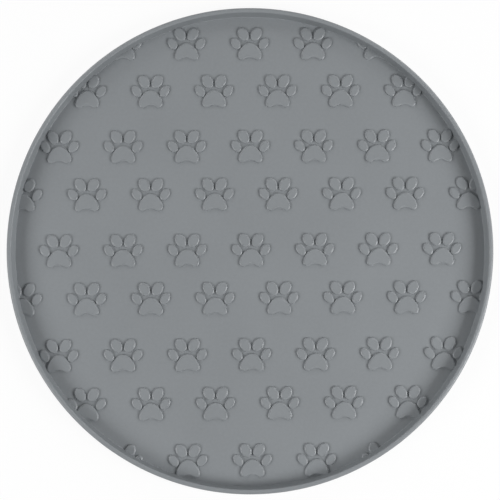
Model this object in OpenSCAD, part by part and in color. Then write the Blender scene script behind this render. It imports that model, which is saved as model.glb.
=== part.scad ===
// A round silicone mat for pet bowls, moulded in one piece: a flat sheet inside a raised rim
// that leans outwards, with staggered rows of raised paw prints on the sheet.
// The origin is the middle of the underside, +Z is up, and the toes of the prints point along +Y.

/* [Sheet] */
// Outside diameter of the mat, over its lip
mat_d = 400; // [384:1:430]
// Thickness of the flat sheet
sheet_t = 2.5; // [1.5:0.1:4]

/* [Rim] */
// Height of the lip above the underside
rim_h = 14; // [9:0.5:18]
// Width of the lip before its edges are rounded, and of the wall below it
lip_w = 4.2; // [3.4:0.1:6]
// How far the wall leans outwards between the sheet and the lip
wall_lean = 0.5; // [0.2:0.1:3]
// Radius of the blend from the sheet into the wall
blend_r = 0.3; // [0.2:0.1:3]
// Radius of the lip's outer edge
lip_outer_r = 2; // [0.3:0.1:2.2]
// Radius of the lip's inner edge
lip_inner_r = 1; // [0.3:0.1:1.5]
// Radius of the rounded edge under the wall
foot_edge_r = 1; // [0.3:0.1:1.4]

/* [Rows of prints] */
// Distance between neighbouring prints in a row
print_pitch = 53.1; // [45:0.1:60]
// Distance between one odd row and the next
row_pitch = 86.7; // [80:0.1:88]
// How far an even row lies below the odd row before it
even_row_drop = 40.1; // [36:0.1:46]
// How far an even row is shifted along +X
even_row_shift = 23; // [0:0.1:30]
// Place of the middle print along X
middle_print_x = 0.3; // [-5:0.1:5]
// Place of the middle print along Y
middle_print_y = -0.9; // [-5:0.1:5]
// Height of the prints above the sheet
print_h = 1.7; // [0.8:0.1:2.5]

/* [Toes] */
// Length of an inner toe
inner_toe_l = 11.6; // [9:0.1:12]
// Width of an inner toe
inner_toe_w = 8.2; // [6:0.1:8.6]
// Distance of an inner toe from the middle line of its print
inner_toe_x = 5.4; // [5.2:0.1:6]
// Distance of an inner toe above the middle of its print
inner_toe_y = 8.1; // [8:0.1:9]
// Angle at which an inner toe leans outwards
inner_toe_angle = 30; // [20:1:32]
// Length of an outer toe
outer_toe_l = 10.2; // [8:0.1:10.5]
// Width of an outer toe
outer_toe_w = 6.7; // [5:0.1:7.2]
// Distance of an outer toe from the middle line of its print
outer_toe_x = 11.7; // [11.6:0.1:13]
// Distance of an outer toe above the middle of its print
outer_toe_y = 0.1; // [-1:0.1:0.4]
// Angle at which an outer toe leans outwards
outer_toe_angle = 33; // [28:1:38]

/* [Heel pad] */
// Height of the pad's top above the middle of its print
pad_top_y = 0.8; // [-1:0.1:1]
// Radius of the pad's rounded top
pad_top_r = 5.2; // [4:0.1:6]
// Radius of the pad's bulging sides
pad_side_r = 14; // [12:0.5:20]
// Radius of the two lobes at the pad's foot
pad_lobe_r = 3.2; // [2.6:0.1:3.6]
// Distance of a lobe's centre from the middle line of its print
pad_lobe_x = 6.5; // [5.5:0.1:7]
// Distance of a lobe's centre below the middle of its print
pad_lobe_drop = 10.3; // [9:0.1:10.5]
// How far the notch between the lobes rises into the pad
pad_notch_h = 2.1; // [1:0.1:2.5]

/* [Hidden] */
row_count = 9;
rows = [1 : row_count];
silicone = [0.53, 0.55, 0.56];
sides = [-1, 1];
$fn = 96;
// Greatest gap between an arc and its chords
arc_gap = 0.06;
// How far outside the tray the middle of a raised form may lie before the form is left out
edge_overrun = 4.1;

mat_r = mat_d / 2;
wall_angle = atan(wall_lean / (rim_h - sheet_t));
// Where the top and the outside of the lip would meet if its outer edge were sharp
lip_corner_r = mat_r + lip_outer_r * (1 / tan((90 - wall_angle) / 2) - 1);
lip_inside_r = lip_corner_r - lip_w;
tray_r = lip_inside_r - wall_lean;
wall_foot_r = lip_corner_r - rim_h * tan(wall_angle);
sheet_r = tray_r - blend_r;

columns = ceil(mat_r / print_pitch);
middle_row = (row_count + 1) / 2;

pad_top = [0, pad_top_y - pad_top_r];
pad_lobe = [pad_lobe_x, -pad_lobe_drop];
pad_side = meeting_point(pad_top, pad_side_r - pad_top_r, pad_lobe, pad_side_r - pad_lobe_r);
pad_notch_drop = pad_lobe_r - pad_notch_h;
pad_notch_r = (pad_lobe_x ^ 2 + pad_notch_drop ^ 2 - pad_lobe_r ^ 2) / (2 * pad_notch_h);
pad_notch_y = pad_lobe.y - pad_notch_drop;
pad_notch = [0, pad_notch_y - pad_notch_r];
pad_middle = [0, (pad_top_y + pad_notch_y) / 2];
pad_reach = norm(pad_lobe - pad_middle) + pad_lobe_r;

function heel_pads_name(row) = str("heel_pads_", row);
function toes_name(row) = str("toes_", row);

function is_even(row) = row % 2 == 0;
function unit(v) = v / norm(v);
function angle_of(v) = atan2(v.y, v.x);

// Place of a row of prints along Y, counting rows from +Y
function row_y(row) = middle_print_y + (is_even(row)
    ? (middle_row + 1 - row) / 2 * row_pitch - even_row_drop
    : (middle_row - row) / 2 * row_pitch);

// Middles of the prints in a row, which runs right across the mat
function print_middles(row) = [
    for (column = [-columns : columns])
        [middle_print_x + column * print_pitch + (is_even(row) ? even_row_shift : 0), row_y(row)]
];

// How many chords follow an arc closely enough
function chords(r, angle) = ceil(abs(angle) / (2 * acos(1 - arc_gap / r)));

// Points along an arc, without its last one
function arc(centre, r, from, to) =
    let (count = chords(r, to - from))
    [for (i = [0 : count - 1])
        let (angle = from + (to - from) * i / count)
        centre + r * [cos(angle), sin(angle)]];

// Points round an oval
function oval(length, width) =
    let (count = chords(length / 2, 360))
    [for (i = [0 : count - 1])
        let (angle = 360 * i / count)
        [width / 2 * cos(angle), length / 2 * sin(angle)]];

// The lower of the two points that lie ra away from a and rb away from b
function meeting_point(a, ra, b, rb) =
    let (gap = norm(b - a),
         along = (ra ^ 2 - rb ^ 2 + gap ^ 2) / (2 * gap),
         across = sqrt(ra ^ 2 - along ^ 2),
         dir = unit(b - a))
    a + along * dir + across * [dir.y, -dir.x];

// Points of the corner b between a and c, rounded to radius r
function rounded_corner(a, b, c, r) =
    let (to_a = unit(a - b),
         to_c = unit(c - b),
         half = acos(to_a * to_c) / 2,
         centre = b + unit(to_a + to_c) * r / sin(half),
         from = angle_of(b + to_a * r / tan(half) - centre),
         turn = (180 - 2 * half) * sign(cross(to_c, to_a)))
    concat(arc(centre, r, from, from + turn), [b + to_c * r / tan(half)]);

// An outline of corners [x, y, radius], where a radius of 0 leaves the corner sharp
function rounded_outline(corners) =
    let (count = len(corners), points = [for (corner = corners) [corner.x, corner.y]])
    [for (i = [0 : count - 1])
        let (before = points[(i + count - 1) % count], after = points[(i + 1) % count], r = corners[i].z)
        each r == 0 ? [points[i]] : rounded_corner(before, points[i], after, r)];

// Right half of the heel pad's outline, from its top round the lobe to the notch
function half_pad() =
    let (side_from = angle_of(pad_top - pad_side),
         side_to = angle_of(pad_lobe - pad_side),
         notch_from = angle_of(pad_lobe - pad_notch))
    concat(
        arc(pad_top, pad_top_r, 90, side_from),
        arc(pad_side, pad_side_r, side_from, side_to),
        arc(pad_lobe, pad_lobe_r, side_to, notch_from - 180),
        arc(pad_notch, pad_notch_r, notch_from, 90),
        [[0, pad_notch_y]]
    );

// The space above the sheet and inside the wall
module tray_space() {
    rotate_extrude() polygon(rounded_outline([
        [0, sheet_t, 0],
        [tray_r, sheet_t, blend_r],
        [lip_inside_r, rim_h, 0],
        [0, rim_h, 0]
    ]));
}

// A raised form of the print at a place, cut where it runs into the wall
module moulded(print_at, form_at, reach) {
    distance = norm(print_at + form_at);
    if (distance + reach < sheet_r)
        translate([print_at.x, print_at.y, sheet_t]) children();
    else if (distance < tray_r + edge_overrun)
        intersection() {
            translate([print_at.x, print_at.y, sheet_t]) children();
            tray_space();
        }
}

module toe(print_at, toe_at, length, width, angle) {
    moulded(print_at, toe_at, length / 2)
        translate(toe_at) rotate(angle) linear_extrude(height = print_h) polygon(oval(length, width));
}

module heel_pad(print_at) {
    right = half_pad();
    left = [for (i = [len(right) - 2 : -1 : 1]) [-right[i].x, right[i].y]];
    moulded(print_at, pad_middle, pad_reach)
        linear_extrude(height = print_h) polygon(concat(right, left));
}

module floor_sheet() {
    color(silicone) cylinder(h = sheet_t, r = sheet_r);
}

module raised_rim() {
    color(silicone) rotate_extrude() polygon(rounded_outline([
        [sheet_r, 0, 0],
        [wall_foot_r, 0, foot_edge_r],
        [lip_corner_r, rim_h, lip_outer_r],
        [lip_inside_r, rim_h, lip_inner_r],
        [tray_r, sheet_t, blend_r],
        [sheet_r, sheet_t, 0]
    ]));
}

module heel_pads(row) {
    color(silicone) for (at = print_middles(row)) heel_pad(at);
}

module toes(row) {
    color(silicone) for (at = print_middles(row), side = sides) {
        toe(at, [side * inner_toe_x, inner_toe_y], inner_toe_l, inner_toe_w, -side * inner_toe_angle);
        toe(at, [side * outer_toe_x, outer_toe_y], outer_toe_l, outer_toe_w, -side * outer_toe_angle);
    }
}

floor_sheet();
raised_rim();
for (row = rows) {
    heel_pads(row);
    toes(row);
}
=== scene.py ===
"""Models a round silicone feeding mat with a raised rim and staggered rows of raised paw prints.

The mat is one moulding. Its sheet, its rim and each row of heel pads and of toes are pieces of their own,
which meet without a gap. Lengths are in metres, and the toes of the prints point along +Y.
"""

import math

import bmesh
import bpy
from bpy.props import FloatProperty, FloatVectorProperty, IntProperty, PointerProperty
from bpy.types import Operator, Panel, PropertyGroup
from mathutils import Matrix, Vector


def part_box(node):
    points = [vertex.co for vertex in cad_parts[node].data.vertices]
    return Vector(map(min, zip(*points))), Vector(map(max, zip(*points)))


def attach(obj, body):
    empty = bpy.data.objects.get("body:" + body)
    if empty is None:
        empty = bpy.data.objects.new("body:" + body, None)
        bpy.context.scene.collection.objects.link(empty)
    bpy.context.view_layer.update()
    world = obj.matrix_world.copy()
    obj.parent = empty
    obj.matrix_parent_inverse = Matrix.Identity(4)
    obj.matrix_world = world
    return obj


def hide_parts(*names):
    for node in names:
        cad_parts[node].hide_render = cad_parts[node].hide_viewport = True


bl_info = {
    "name": "Paw Print Feeding Mat",
    "version": (1, 0, 0),
    "blender": (4, 5, 0),
    "location": "View3D > Sidebar > Feeding Mat",
    "description": "Models a round silicone feeding mat with a raised rim and raised paw prints",
    "category": "Add Mesh",
}

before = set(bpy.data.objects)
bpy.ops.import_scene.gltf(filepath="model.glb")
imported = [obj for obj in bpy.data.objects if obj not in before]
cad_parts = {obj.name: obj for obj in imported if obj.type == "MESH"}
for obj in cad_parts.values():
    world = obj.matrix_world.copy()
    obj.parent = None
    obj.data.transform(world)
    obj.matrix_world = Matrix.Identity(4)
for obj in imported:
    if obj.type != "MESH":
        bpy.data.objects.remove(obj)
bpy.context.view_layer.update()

MM = 0.001
BODY = "root"
SILICONE = "mat_silicone"

SHEET_NODE = "floor_sheet"
RIM_NODE = "raised_rim"
HEEL_PADS_NODE = "heel_pads_{}"
TOES_NODE = "toes_{}"
ROW_COUNT = sum(HEEL_PADS_NODE.format(row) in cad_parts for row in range(len(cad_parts)))
ROWS = range(1, ROW_COUNT + 1)
MIDDLE_ROW = (ROW_COUNT + 1) / 2
SIDES = (-1, 1)

SHEET_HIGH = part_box(SHEET_NODE)[1]
RIM_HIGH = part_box(RIM_NODE)[1]

# Points closer together than this are one point
MERGE_DISTANCE = 0.001 * MM
# Edges that turn more than this stay crisp under smooth shading
CRISP_ANGLE = math.radians(50)
# How far a piece may stray from the box of the node that it stands for
NODE_TOLERANCE = 3 * MM
# Places of the lowest and of the highest corner in an object's box
LOWEST, HIGHEST = 0, 6
# Steps along each rounded edge of the rim
ROUND_EDGE_STEPS = 6
# Octaves of the clouds in the silicone, and of its mottle and grain, which are finer
CLOUD_OCTAVES = 3
FINE_OCTAVES = 2
# The value that a noise goes above as often as below
NOISE_MIDDLE = 0.5
# Sockets of a Mix node that is set to colours
MIX_A, MIX_B, MIX_RESULT = 6, 7, 2
AXIS = (0, 0, 1)


def length(name, description, default):
    """A property that holds a length in metres."""
    return FloatProperty(name=name, description=description, default=default, unit="LENGTH", precision=5)


def angle(name, description, degrees):
    """A property that holds an angle in radians."""
    return FloatProperty(name=name, description=description, default=math.radians(degrees), subtype="ANGLE")


def share(name, description, default):
    """A property that holds a share from 0 to 1."""
    return FloatProperty(name=name, description=description, default=default, min=0, max=1, subtype="FACTOR")


def power(name, description, default):
    """A property that holds a lamp's power in watts."""
    return FloatProperty(name=name, description=description, default=default, min=0, unit="POWER")


def colour(name, description, default):
    """A property that holds a colour in linear light."""
    return FloatVectorProperty(
        name=name, description=description, default=default, min=0, max=1, size=3, subtype="COLOR"
    )


class FEEDING_MAT_PG_sheet(PropertyGroup):
    """Sizes of the flat sheet."""

    radius: length("Radius", "From the middle of the mat to where the rim begins", SHEET_HIGH.x)
    thickness: length("Thickness", "Thickness of the sheet", SHEET_HIGH.z)
    round_steps: IntProperty(
        name="Round Steps",
        description="Straight steps once round the mat, a multiple of 4",
        default=288,
        step=4,
    )


class FEEDING_MAT_PG_rim(PropertyGroup):
    """Sizes of the raised rim."""

    radius: length("Radius", "From the middle of the mat to the outside of the lip", RIM_HIGH.x)
    height: length("Height", "Height of the lip above the underside", RIM_HIGH.z)
    lip_width: length("Lip Width", "Width of the lip before its edges are rounded", 4.2 * MM)
    wall_lean: length("Wall Lean", "How far the wall leans outwards from the sheet to the lip", 0.5 * MM)
    blend_radius: length("Blend Radius", "Radius of the blend from the sheet into the wall", 0.3 * MM)
    lip_outer_radius: length("Lip Outer Radius", "Radius of the lip's outer edge", 2 * MM)
    lip_inner_radius: length("Lip Inner Radius", "Radius of the lip's inner edge", 1 * MM)
    foot_edge_radius: length("Foot Edge Radius", "Radius of the rounded edge under the wall", 1 * MM)


class FEEDING_MAT_PG_rows(PropertyGroup):
    """Places of the prints."""

    pitch: length("Pitch", "Distance between neighbouring prints in a row", 53.1 * MM)
    row_pitch: length("Row Pitch", "Distance between one odd row and the next", 86.7 * MM)
    even_drop: length("Even Row Drop", "How far an even row lies below the odd row before it", 40.1 * MM)
    even_shift: length("Even Row Shift", "How far an even row is shifted along +X", 23 * MM)
    middle_x: length("Middle X", "Place of the middle print along X", 0.3 * MM)
    middle_y: length("Middle Y", "Place of the middle print along Y", -0.9 * MM)
    edge_overrun: length("Edge Overrun", "How far outside the tray the middle of a form may lie", 4.1 * MM)
    wall_bite: length("Wall Bite", "How far a form that meets the wall runs on inside it", 1.5 * MM)


class FEEDING_MAT_PG_relief(PropertyGroup):
    """The edge that every raised form has, from its foot up to its flat top."""

    height: length("Height", "Height of the prints above the sheet", 1.7 * MM)
    sink: length("Sink", "How deep the foot of a form stands in the sheet", 0.15 * MM)
    foot_growth: length("Foot Growth", "How far the foot of a form lies outside its outline", 0.35 * MM)
    wall_spread: length("Wall Spread", "Width of the sloping wall", 0.1 * MM)
    wall_rise: length("Wall Rise", "Height of the sloping wall above the sheet", 1.15 * MM)
    shoulder_spread: length("Shoulder Spread", "Width of the rounded shoulder", 0.2 * MM)
    shoulder_rise: length("Shoulder Rise", "Height of the rounded shoulder", 0.2 * MM)
    crown_spread: length("Crown Spread", "Width of the gentle crown inside the shoulder", 0.75 * MM)
    top_margin: length("Top Margin", "Width of the flat band round the top", 0.4 * MM)


class FEEDING_MAT_PG_toes(PropertyGroup):
    """Sizes and places of the four toes, from the middle of their print."""

    inner_length: length("Inner Length", "Length of an inner toe", 11.6 * MM)
    inner_width: length("Inner Width", "Width of an inner toe", 8.2 * MM)
    inner_x: length("Inner X", "Distance of an inner toe from the middle line", 5.4 * MM)
    inner_y: length("Inner Y", "Distance of an inner toe above the middle", 8.1 * MM)
    inner_lean: angle("Inner Lean", "Angle at which an inner toe leans outwards", 30)
    outer_length: length("Outer Length", "Length of an outer toe", 10.2 * MM)
    outer_width: length("Outer Width", "Width of an outer toe", 6.7 * MM)
    outer_x: length("Outer X", "Distance of an outer toe from the middle line", 11.7 * MM)
    outer_y: length("Outer Y", "Distance of an outer toe above the middle", 0.1 * MM)
    outer_lean: angle("Outer Lean", "Angle at which an outer toe leans outwards", 33)
    round_steps: IntProperty(name="Round Steps", description="Straight steps once round a toe", default=16)


class FEEDING_MAT_PG_heel_pads(PropertyGroup):
    """Sizes of the heel pad, from the middle of its print."""

    top_y: length("Top Y", "Height of the pad's top above the middle", 0.8 * MM)
    top_radius: length("Top Radius", "Radius of the pad's rounded top", 5.2 * MM)
    side_radius: length("Side Radius", "Radius of the pad's bulging sides", 14 * MM)
    lobe_radius: length("Lobe Radius", "Radius of the two lobes at the pad's foot", 3.2 * MM)
    lobe_x: length("Lobe X", "Distance of a lobe's centre from the middle line", 6.5 * MM)
    lobe_drop: length("Lobe Drop", "Distance of a lobe's centre below the middle", 10.3 * MM)
    notch_height: length("Notch Height", "How far the notch between the lobes rises into the pad", 2.1 * MM)
    arc_step: length("Arc Step", "Length of the straight steps along the pad's outline", 1.6 * MM)


class FEEDING_MAT_PG_silicone(PropertyGroup):
    """Colour and surface of the silicone."""

    colour: colour("Colour", "Colour of the silicone", (0.246, 0.262, 0.275))
    cloud_size: length("Cloud Size", "Size of the faint clouds in the colour", 70 * MM)
    mottle_size: length("Mottle Size", "Size of the fine mottle in the colour", 2.5 * MM)
    mottle_share: share("Mottle Share", "Share of the mottle in the change of colour", 0.4)
    tone_range: share("Tone Range", "How far clouds and mottle lighten or darken the colour", 0.12)
    grain_size: length("Grain Size", "Size of the grain that the mould leaves", 0.6 * MM)
    grain_depth: length("Grain Depth", "Depth of the grain that the mould leaves", 0.02 * MM)
    roughness: share("Roughness", "Roughness of the surface", 0.3)
    roughness_range: share("Roughness Range", "How far clouds and mottle change the roughness", 0.08)
    refraction: FloatProperty(name="Refraction", description="Index of refraction of silicone", default=1.41)


class FEEDING_MAT_PG_stage(PropertyGroup):
    """Floor, light and camera."""

    floor_colour: colour("Floor Colour", "Colour of the floor and of the background", (1, 1, 1))
    floor_reach: length("Floor Reach", "From the middle of the floor to its edges", 6)
    floor_gap: length("Floor Gap", "Gap between the floor and the underside of the mat", 0.1 * MM)
    floor_glow: share("Floor Glow", "Share of the floor's white that no shadow reaches, under the mat", 0.9)
    glow_reach: length("Glow Reach", "From the middle of the floor to where it is all white", 2)
    lamp_distance: length("Lamp Distance", "Distance of the lamps from the mat", 1.6)
    lamp_width: length("Lamp Width", "Width of the lamps from side to side", 0.9)
    lamp_breadth: length("Lamp Breadth", "Width of the lamps from their lower to their upper edge", 0.8)
    side_height: angle("Side Height", "Height of the side lamps above the horizon", 34)
    side_turn: angle("Side Turn", "How far the side lamps stand towards the front", 20)
    left_power: power("Left Power", "Power of the lamp on the left", 14)
    right_power: power("Right Power", "Power of the lamp on the right", 21.2)
    back_height: angle("Back Height", "Height of the back lamps above the horizon", 25)
    back_turn: angle("Back Turn", "How far the back lamps stand to either side of the back", 45)
    back_power: power("Back Power", "Power of each of the two lamps at the back", 6.2)
    lens: FloatProperty(name="Lens", description="Focal length", default=64.89, unit="CAMERA")
    camera_place: FloatVectorProperty(
        name="Camera Place",
        description="Where the camera stands",
        default=(-10.75 * MM, -32.54 * MM, 752 * MM),
        subtype="TRANSLATION",
    )
    camera_turn: FloatVectorProperty(
        name="Camera Turn",
        description="How the camera is turned from looking straight down",
        default=(math.radians(2.427), math.radians(-0.762), math.radians(-0.37)),
        subtype="EULER",
    )


class FEEDING_MAT_PG_mat(PropertyGroup):
    """Everything about the mat that a user would change."""

    sheet: PointerProperty(type=FEEDING_MAT_PG_sheet, name="Sheet")
    rim: PointerProperty(type=FEEDING_MAT_PG_rim, name="Rim")
    rows: PointerProperty(type=FEEDING_MAT_PG_rows, name="Rows of Prints")
    relief: PointerProperty(type=FEEDING_MAT_PG_relief, name="Relief")
    heel_pads: PointerProperty(type=FEEDING_MAT_PG_heel_pads, name="Heel Pads")
    toes: PointerProperty(type=FEEDING_MAT_PG_toes, name="Toes")
    silicone: PointerProperty(type=FEEDING_MAT_PG_silicone, name="Silicone")
    stage: PointerProperty(type=FEEDING_MAT_PG_stage, name="Stage")


class Wire:
    """What comes out of a node. Values can be added, subtracted and multiplied."""

    def __init__(self, nodes, socket):
        self.nodes = nodes
        self.socket = socket

    def reckon(self, operation, first, second):
        return self.nodes.add("ShaderNodeMath", {"operation": operation}, {0: first, 1: second})

    def __add__(self, other):
        return self.reckon("ADD", self, other)

    def __radd__(self, other):
        return self.reckon("ADD", other, self)

    def __sub__(self, other):
        return self.reckon("SUBTRACT", self, other)

    def __rsub__(self, other):
        return self.reckon("SUBTRACT", other, self)

    def __mul__(self, other):
        return self.reckon("MULTIPLY", self, other)

    def __rmul__(self, other):
        return self.reckon("MULTIPLY", other, self)


class Nodes:
    """The nodes of a material or of the world."""

    def __init__(self, owner):
        owner.use_nodes = True
        self.tree = owner.node_tree
        self.tree.nodes.clear()

    def add(self, kind, settings, sockets, output=0):
        """Adds a node, sets it up, then sets or links its sockets, and gives one of its outputs."""
        node = self.tree.nodes.new(kind)
        for name, value in settings.items():
            setattr(node, name, value)
        for name, value in sockets.items():
            if isinstance(value, Wire):
                self.tree.links.new(value.socket, node.inputs[name])
            else:
                node.inputs[name].default_value = value
        return Wire(self, node.outputs[output]) if node.outputs else None


def opaque(rgb):
    """A colour as a shader's socket takes it."""
    return (*rgb, 1)


def silicone_finish(silicone):
    """Matt grey silicone, faintly clouded and finely mottled, with the grain of its mould."""
    material = bpy.data.materials.new(SILICONE)
    nodes = Nodes(material)
    place = nodes.add("ShaderNodeTexCoord", {}, {}, "Object")

    def noise(size, octaves):
        sockets = {"Vector": place, "Scale": 1 / size, "Detail": octaves}
        return nodes.add("ShaderNodeTexNoise", {"noise_dimensions": "3D"}, sockets, "Fac")

    clouds = noise(silicone.cloud_size, CLOUD_OCTAVES)
    mottle = noise(silicone.mottle_size, FINE_OCTAVES)
    grain = noise(silicone.grain_size, FINE_OCTAVES)
    tone = clouds * (1 - silicone.mottle_share) + mottle * silicone.mottle_share
    grey = Vector(silicone.colour)
    base_colour = nodes.add(
        "ShaderNodeMix",
        {"data_type": "RGBA"},
        {
            "Factor": tone,
            MIX_A: opaque(grey * (1 - silicone.tone_range)),
            MIX_B: opaque(grey * (1 + silicone.tone_range)),
        },
        MIX_RESULT,
    )
    roughness = silicone.roughness + (NOISE_MIDDLE - tone) * silicone.roughness_range
    normal = nodes.add(
        "ShaderNodeBump", {}, {"Height": grain, "Strength": 1, "Distance": silicone.grain_depth}
    )
    surface = nodes.add(
        "ShaderNodeBsdfPrincipled",
        {},
        {"Base Color": base_colour, "Roughness": roughness, "IOR": silicone.refraction, "Normal": normal},
    )
    nodes.add("ShaderNodeOutputMaterial", {}, {"Surface": surface})
    return material


def background_rays(nodes):
    """1 on the rays that show the background, which are the camera's, reflected and refracted ones."""
    camera, glossy, transmission = (
        nodes.add("ShaderNodeLightPath", {}, {}, rays)
        for rays in ("Is Camera Ray", "Is Glossy Ray", "Is Transmission Ray")
    )
    at_most_one = {"operation": "ADD", "use_clamp": True}
    return nodes.add("ShaderNodeMath", at_most_one, {0: camera + glossy, 1: transmission})


def floor_finish(stage):
    """White floor that keeps the mat's shadow, and that turns all white away from the mat."""
    material = bpy.data.materials.new("stage_floor")
    nodes = Nodes(material)
    white = opaque(stage.floor_colour)
    place = nodes.add("ShaderNodeTexCoord", {}, {}, "Object")
    away = nodes.add("ShaderNodeVectorMath", {"operation": "LENGTH"}, {0: place}, "Value")
    glow_share = nodes.add(
        "ShaderNodeMapRange", {}, {"Value": away, "From Max": stage.glow_reach, "To Min": stage.floor_glow}
    )
    lit = nodes.add("ShaderNodeBsdfDiffuse", {}, {"Color": white})
    glow = nodes.add("ShaderNodeEmission", {}, {"Color": white, "Strength": 1})
    mixed = {0: background_rays(nodes) * glow_share, 1: lit, 2: glow}
    surface = nodes.add("ShaderNodeMixShader", {}, mixed)
    nodes.add("ShaderNodeOutputMaterial", {}, {"Surface": surface})
    return material


def dress_world(stage):
    """White background, which lights nothing."""
    world = bpy.data.worlds.new("stage_world")
    bpy.context.scene.world = world
    nodes = Nodes(world)
    white = opaque(stage.floor_colour)
    surface = nodes.add("ShaderNodeBackground", {}, {"Color": white, "Strength": background_rays(nodes)})
    nodes.add("ShaderNodeOutputWorld", {}, {"Surface": surface})


def fill_holes(bm):
    """Closes every open edge loop with a flat face."""
    open_edges = [edge for edge in bm.edges if edge.is_boundary]
    bmesh.ops.holes_fill(bm, edges=open_edges, sides=0)


def close_up(bm):
    """Merges doubles and turns the faces outwards."""
    bmesh.ops.remove_doubles(bm, verts=bm.verts[:], dist=MERGE_DISTANCE)
    bmesh.ops.recalc_face_normals(bm, faces=bm.faces[:])


def make_piece(bm, name, node, material):
    """Makes a closed mesh the piece that stands for a node, and checks that it lies where the node is."""
    close_up(bm)
    if not all(edge.is_manifold for edge in bm.edges):
        raise RuntimeError(f"{name} isn't closed")
    for face in bm.faces:
        face.smooth = True
    for edge in bm.edges:
        edge.smooth = edge.calc_face_angle() < CRISP_ANGLE
    mesh = bpy.data.meshes.new(name)
    bm.to_mesh(mesh)
    bm.free()
    mesh.materials.append(material)
    piece = bpy.data.objects.new(name, mesh)
    bpy.context.collection.objects.link(piece)
    bpy.context.view_layer.update()
    corners = [Vector(corner) for corner in piece.bound_box]
    for node_corner, piece_corner in zip(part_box(node), (corners[LOWEST], corners[HIGHEST])):
        if max(abs(gap) for gap in node_corner - piece_corner) > NODE_TOLERANCE:
            raise RuntimeError(f"{name} strays from {node}: {piece_corner} instead of {node_corner}")
    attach(piece, BODY)
    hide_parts(node)


def mat_material(mat):
    """The silicone of all the pieces, made once."""
    return bpy.data.materials.get(SILICONE) or silicone_finish(mat.silicone)


def wall_angle(mat):
    """Angle between the rim's wall and the upright."""
    return math.atan2(mat.rim.wall_lean, mat.rim.height - mat.sheet.thickness)


def lip_corner_radius(mat):
    """Radius at which the top and the outside of the lip would meet, were its outer edge sharp."""
    half_corner = (math.pi / 2 - wall_angle(mat)) / 2
    return mat.rim.radius + mat.rim.lip_outer_radius * (1 / math.tan(half_corner) - 1)


def tray_radius(mat):
    """Radius at which the sheet and the inner wall would meet, were the blend not there."""
    return lip_corner_radius(mat) - mat.rim.lip_width - mat.rim.wall_lean


def rounded_section(bm, corners):
    """Edges of a section in the XZ plane with corners (x, z, radius), where a radius of 0 stays sharp."""
    verts = [bm.verts.new((x, 0, z)) for x, z, radius in corners]
    bm.faces.new(verts)
    for vert, (x, z, radius) in zip(verts, corners):
        if radius:
            offset = radius * math.tan(vert.calc_edge_angle() / 2)
            bmesh.ops.bevel(
                bm,
                geom=[vert],
                affect="VERTICES",
                offset=offset,
                offset_type="OFFSET",
                segments=ROUND_EDGE_STEPS,
                profile=0.5,
                material=-1,
            )
    bmesh.ops.delete(bm, geom=bm.faces[:], context="FACES_ONLY")


def is_even(row):
    """Whether a row is one of those that are shifted."""
    return row % 2 == 0


def row_y(rows, row):
    """Place of a row of prints along Y, counting rows from +Y."""
    if is_even(row):
        return rows.middle_y + (MIDDLE_ROW + 1 - row) / 2 * rows.row_pitch - rows.even_drop
    return rows.middle_y + (MIDDLE_ROW - row) / 2 * rows.row_pitch


def print_middles(mat, row):
    """Middles of the prints in a row, which runs right across the mat."""
    rows = mat.rows
    shift = rows.even_shift if is_even(row) else 0
    columns = math.ceil(mat.rim.radius / rows.pitch)
    return [
        Vector((rows.middle_x + column * rows.pitch + shift, row_y(rows, row), mat.sheet.thickness))
        for column in range(-columns, columns + 1)
    ]


def raised_form(bm, relief):
    """Raises the one face of a mesh into a form with a sloping wall, a rounded shoulder and a flat top."""
    top = bm.faces[:][0]
    top.normal_update()
    if top.normal.z < 0:
        top.normal_flip()
    steps = (
        (relief.wall_spread, relief.sink + relief.wall_rise),
        (relief.shoulder_spread, relief.shoulder_rise),
        (relief.crown_spread, relief.height - relief.wall_rise - relief.shoulder_rise),
        (relief.top_margin, 0),
    )
    for spread, rise in steps:
        bmesh.ops.inset_region(
            bm, faces=[top], thickness=spread, depth=rise, use_even_offset=True, use_boundary=True
        )
    bmesh.ops.translate(bm, verts=bm.verts[:], vec=(0, 0, -relief.sink))
    fill_holes(bm)
    close_up(bm)
    form = bpy.data.meshes.new("raised_form")
    bm.to_mesh(form)
    bm.free()
    return form


def stamp(bm, form, print_middle, form_middle, mat):
    """Adds a form to a row of prints, cut off inside the rim's wall where it runs into it."""
    tray = tray_radius(mat)
    across = (print_middle + form_middle).to_2d()
    if across.length > tray + mat.rows.edge_overrun:
        return
    copy = bmesh.new()
    copy.from_mesh(form)
    bmesh.ops.translate(copy, verts=copy.verts[:], vec=print_middle)
    cut_radius = tray + mat.rows.wall_bite
    if max(vert.co.to_2d().length for vert in copy.verts) > cut_radius:
        outwards = across.normalized().to_3d()
        geometry = copy.verts[:] + copy.edges[:] + copy.faces[:]
        bmesh.ops.bisect_plane(
            copy, geom=geometry, plane_co=outwards * cut_radius, plane_no=outwards, clear_outer=True
        )
        fill_holes(copy)
    mesh = bpy.data.meshes.new("stamped_form")
    copy.to_mesh(mesh)
    copy.free()
    bm.from_mesh(mesh)
    bpy.data.meshes.remove(mesh)


def toe_form(mat, toe_length, toe_width, at, lean):
    """A toe, oval in outline, in its place on a print."""
    growth = mat.relief.foot_growth
    size = Matrix.Diagonal((toe_width / 2 + growth, toe_length / 2 + growth, 1, 1))
    place = Matrix.Translation(at) @ Matrix.Rotation(lean, 4, "Z") @ size
    bm = bmesh.new()
    bmesh.ops.create_circle(bm, cap_ends=True, segments=mat.toes.round_steps, radius=1, matrix=place)
    return raised_form(bm, mat.relief)


def bearing(vector):
    """Angle of a flat vector, anticlockwise from +X."""
    return math.atan2(vector.y, vector.x)


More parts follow.
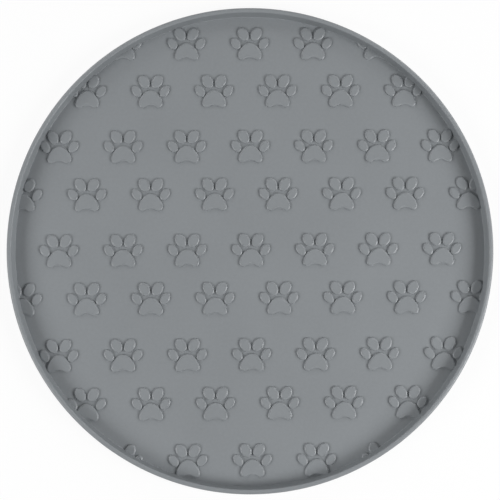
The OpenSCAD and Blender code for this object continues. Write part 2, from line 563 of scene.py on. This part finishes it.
def lower_meeting_point(a, a_radius, b, b_radius):
    """The lower of the two points that lie at a_radius from a and at b_radius from b."""
    gap = b - a
    along = (a_radius**2 - b_radius**2 + gap.length_squared) / (2 * gap.length)
    across = math.sqrt(a_radius**2 - along**2)
    onwards = gap.normalized()
    return a + onwards * along + Vector((onwards.y, -onwards.x)) * across


def trace_arc(bm, start, centre, turn, step):
    """Carries an outline on from a vertex round a centre, and gives the vertex where it ends."""
    arc_length = abs(turn) * (start.co.to_2d() - centre).length
    steps = max(1, round(arc_length / step))
    traced = bmesh.ops.spin(bm, geom=[start], cent=centre.to_3d(), axis=AXIS, angle=turn, steps=steps)
    return next(vert for vert in traced["geom_last"] if isinstance(vert, bmesh.types.BMVert))


def notch_drop(pads):
    """How far the top of the notch in a heel pad lies below the centres of the lobes beside it."""
    return pads.lobe_radius - pads.notch_height


def notch_centre(pads):
    """Centre of the arc of the notch, which starts where the lobes' arcs end."""
    drop = notch_drop(pads)
    radius = (pads.lobe_x**2 + drop**2 - pads.lobe_radius**2) / (2 * pads.notch_height)
    return Vector((0, -pads.lobe_drop - drop - radius))


def heel_pad_form(mat):
    """A heel pad: a rounded top, bulging sides and two lobes with a notch between them."""
    pads = mat.heel_pads
    top = Vector((0, pads.top_y - pads.top_radius))
    lobe = Vector((pads.lobe_x, -pads.lobe_drop))
    side = lower_meeting_point(
        top, pads.side_radius - pads.top_radius, lobe, pads.side_radius - pads.lobe_radius
    )
    notch = notch_centre(pads)
    top_to_side = bearing(top - side)
    side_to_lobe = bearing(lobe - side)
    lobe_to_notch = bearing(lobe - notch)
    arcs = (
        (top, top_to_side - math.pi / 2),
        (side, side_to_lobe - top_to_side),
        (lobe, lobe_to_notch - math.pi - side_to_lobe),
        (notch, math.pi / 2 - lobe_to_notch),
    )
    bm = bmesh.new()
    end = bm.verts.new((0, pads.top_y + mat.relief.foot_growth, 0))
    for centre, turn in arcs:
        end = trace_arc(bm, end, centre, turn, pads.arc_step)
    bmesh.ops.mirror(bm, geom=bm.verts[:] + bm.edges[:], axis="X", merge_dist=MERGE_DISTANCE)
    bmesh.ops.remove_doubles(bm, verts=bm.verts[:], dist=MERGE_DISTANCE)
    bmesh.ops.edgeloop_fill(bm, edges=bm.edges[:])
    return raised_form(bm, mat.relief)


def heel_pad_middle(pads):
    """Middle of a heel pad on its print."""
    notch_y = -pads.lobe_drop - notch_drop(pads)
    return Vector((0, (pads.top_y + notch_y) / 2, 0))


def print_rows(mat, forms, name, node):
    """Makes a piece for each row of prints, out of forms (mesh, middle) that every print has."""
    for row in ROWS:
        bm = bmesh.new()
        for print_middle in print_middles(mat, row):
            for form, form_middle in forms:
                stamp(bm, form, print_middle, form_middle, mat)
        make_piece(bm, name.format(row), node.format(row), mat_material(mat))
    for form, form_middle in forms:
        bpy.data.meshes.remove(form)


class FEEDING_MAT_OT_sheet(Operator):
    """Models the flat sheet that the bowls stand on"""

    bl_idname = "feeding_mat.sheet"
    bl_label = "Sheet"

    def execute(self, context):
        mat = context.scene.feeding_mat
        bm = bmesh.new()
        bmesh.ops.create_circle(bm, cap_ends=True, segments=mat.sheet.round_steps, radius=mat.sheet.radius)
        raised = bmesh.ops.extrude_face_region(bm, geom=bm.faces[:])["geom"]
        top = [vert for vert in raised if isinstance(vert, bmesh.types.BMVert)]
        bmesh.ops.translate(bm, verts=top, vec=(0, 0, mat.sheet.thickness))
        make_piece(bm, "mat_sheet", SHEET_NODE, mat_material(mat))
        return {"FINISHED"}


class FEEDING_MAT_OT_rim(Operator):
    """Models the rim, from its blend into the sheet up to its lip"""

    bl_idname = "feeding_mat.rim"
    bl_label = "Rim"

    def execute(self, context):
        mat = context.scene.feeding_mat
        sheet = mat.sheet
        rim = mat.rim
        lip_corner = lip_corner_radius(mat)
        wall_foot = lip_corner - rim.height * math.tan(wall_angle(mat))
        bm = bmesh.new()
        rounded_section(
            bm,
            (
                (sheet.radius, 0, 0),
                (wall_foot, 0, rim.foot_edge_radius),
                (lip_corner, rim.height, rim.lip_outer_radius),
                (lip_corner - rim.lip_width, rim.height, rim.lip_inner_radius),
                (tray_radius(mat), sheet.thickness, rim.blend_radius),
                (sheet.radius, sheet.thickness, 0),
            ),
        )
        bmesh.ops.spin(
            bm,
            geom=bm.verts[:] + bm.edges[:],
            axis=AXIS,
            angle=math.tau,
            steps=sheet.round_steps,
            use_merge=True,
        )
        make_piece(bm, "mat_rim", RIM_NODE, mat_material(mat))
        return {"FINISHED"}


class FEEDING_MAT_OT_heel_pads(Operator):
    """Models the heel pads of the prints, one piece for each row"""

    bl_idname = "feeding_mat.heel_pads"
    bl_label = "Heel Pads"

    def execute(self, context):
        mat = context.scene.feeding_mat
        forms = [(heel_pad_form(mat), heel_pad_middle(mat.heel_pads))]
        print_rows(mat, forms, "heel_pad_row_{}", HEEL_PADS_NODE)
        return {"FINISHED"}


class FEEDING_MAT_OT_toes(Operator):
    """Models the toes of the prints, one piece for each row"""

    bl_idname = "feeding_mat.toes"
    bl_label = "Toes"

    def execute(self, context):
        mat = context.scene.feeding_mat
        toes = mat.toes
        forms = []
        for side in SIDES:
            inner = Vector((side * toes.inner_x, toes.inner_y, 0))
            outer = Vector((side * toes.outer_x, toes.outer_y, 0))
            inner_form = toe_form(mat, toes.inner_length, toes.inner_width, inner, -side * toes.inner_lean)
            outer_form = toe_form(mat, toes.outer_length, toes.outer_width, outer, -side * toes.outer_lean)
            forms += [(inner_form, inner), (outer_form, outer)]
        print_rows(mat, forms, "toe_row_{}", TOES_NODE)
        return {"FINISHED"}


def lay_floor(stage):
    """Lays the floor that the mat lies on."""
    bm = bmesh.new()
    bmesh.ops.create_grid(bm, x_segments=1, y_segments=1, size=stage.floor_reach)
    bmesh.ops.translate(bm, verts=bm.verts[:], vec=(0, 0, -stage.floor_gap))
    mesh = bpy.data.meshes.new("stage_floor")
    bm.to_mesh(mesh)
    bm.free()
    mesh.materials.append(floor_finish(stage))
    floor = bpy.data.objects.new("stage_floor", mesh)
    bpy.context.collection.objects.link(floor)


def add_lamp(stage, name, azimuth, height, watts):
    """Adds a broad soft lamp that faces the mat, from an angle round it and an angle above the floor."""
    lamp = bpy.data.lights.new(name, "AREA")
    lamp.shape = "RECTANGLE"
    lamp.size = stage.lamp_width
    lamp.size_y = stage.lamp_breadth
    lamp.energy = watts
    holder = bpy.data.objects.new(name, lamp)
    holder.visible_camera = False
    outwards = Vector((math.cos(azimuth), math.sin(azimuth), 0)) * math.cos(height)
    away = outwards + Vector(AXIS) * math.sin(height)
    holder.location = away * stage.lamp_distance
    holder.rotation_euler = away.to_track_quat("Z", "Y").to_euler()
    bpy.context.collection.objects.link(holder)


def add_lamps(stage):
    """Adds a lamp on either side of the mat and two behind it."""
    right, back, left = 0, math.pi / 2, math.pi
    add_lamp(stage, "left_lamp", left + stage.side_turn, stage.side_height, stage.left_power)
    add_lamp(stage, "right_lamp", right - stage.side_turn, stage.side_height, stage.right_power)
    add_lamp(stage, "back_left_lamp", back + stage.back_turn, stage.back_height, stage.back_power)
    add_lamp(stage, "back_right_lamp", back - stage.back_turn, stage.back_height, stage.back_power)


def add_camera(stage):
    """Adds the camera, which looks down on the mat."""
    view = bpy.data.cameras.new("photo_camera")
    view.lens = stage.lens
    camera = bpy.data.objects.new("photo_camera", view)
    camera.location = stage.camera_place
    camera.rotation_euler = stage.camera_turn
    bpy.context.collection.objects.link(camera)
    bpy.context.scene.camera = camera


class FEEDING_MAT_OT_stage(Operator):
    """Sets up the floor, the light and the camera"""

    bl_idname = "feeding_mat.stage"
    bl_label = "Stage"

    def execute(self, context):
        stage = context.scene.feeding_mat.stage
        lay_floor(stage)
        dress_world(stage)
        add_lamps(stage)
        add_camera(stage)
        context.scene.view_settings.view_transform = "Standard"
        return {"FINISHED"}


class FEEDING_MAT_PT_sidebar(Panel):
    """Lists the pieces of the mat with their settings"""

    bl_label = "Feeding Mat"
    bl_space_type = "VIEW_3D"
    bl_region_type = "UI"
    bl_category = "Feeding Mat"

    def draw(self, context):
        mat = context.scene.feeding_mat
        for operator in OPERATORS:
            self.layout.operator(operator.bl_idname)
        for group_name in FEEDING_MAT_PG_mat.__annotations__:
            group = getattr(mat, group_name)
            box = self.layout.box()
            box.label(text=group_name.replace("_", " ").title())
            for setting in type(group).__annotations__:
                box.prop(group, setting)


SETTINGS = (
    FEEDING_MAT_PG_sheet,
    FEEDING_MAT_PG_rim,
    FEEDING_MAT_PG_rows,
    FEEDING_MAT_PG_relief,
    FEEDING_MAT_PG_heel_pads,
    FEEDING_MAT_PG_toes,
    FEEDING_MAT_PG_silicone,
    FEEDING_MAT_PG_stage,
    FEEDING_MAT_PG_mat,
)
OPERATORS = (
    FEEDING_MAT_OT_sheet,
    FEEDING_MAT_OT_rim,
    FEEDING_MAT_OT_heel_pads,
    FEEDING_MAT_OT_toes,
    FEEDING_MAT_OT_stage,
)
CLASSES = (*SETTINGS, *OPERATORS, FEEDING_MAT_PT_sidebar)


def register():
    for added in CLASSES:
        bpy.utils.register_class(added)
    bpy.types.Scene.feeding_mat = PointerProperty(type=FEEDING_MAT_PG_mat)


def unregister():
    del bpy.types.Scene.feeding_mat
    for added in reversed(CLASSES):
        bpy.utils.unregister_class(added)


def main():
    register()
    bpy.ops.feeding_mat.sheet()
    bpy.ops.feeding_mat.rim()
    bpy.ops.feeding_mat.heel_pads()
    bpy.ops.feeding_mat.toes()
    bpy.ops.feeding_mat.stage()


if __name__ == "__main__":
    main()
